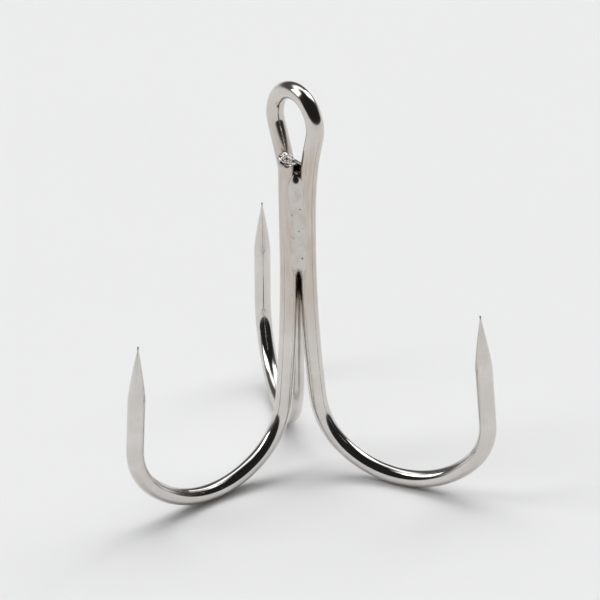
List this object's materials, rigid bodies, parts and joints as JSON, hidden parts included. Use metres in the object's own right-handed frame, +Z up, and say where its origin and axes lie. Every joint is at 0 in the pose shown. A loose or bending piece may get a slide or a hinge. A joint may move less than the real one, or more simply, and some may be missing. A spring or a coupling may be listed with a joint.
{
  "type": "treble hook",
  "caption": "Brazed fishing hook with plain needle points, round bends and a ring eye bent in line with the shank.",
  "frame": {"origin": "centre of the eye", "axes": "+Z up the shank axis from the bends to the eye, +Y along the eye's opening and away from the single hook, +X to the right-hand hook of the double"},
  "size_m": [0.032, 0.0263, 0.0351],
  "materials": {
    "nickel_plated_wire": "bright nickel plating over spring steel wire, slightly warm grey",
    "plated_braze": "braze metal under the same nickel plating, a little duller and pitted"
  },
  "bodies": {
    "root": {"double_hook_wire": "nickel_plated_wire", "single_hook_wire": "nickel_plated_wire", "braze_seam_left": "plated_braze", "braze_seam_right": "plated_braze", "braze_seam_rear": "plated_braze"}
  },
  "joints": []
}
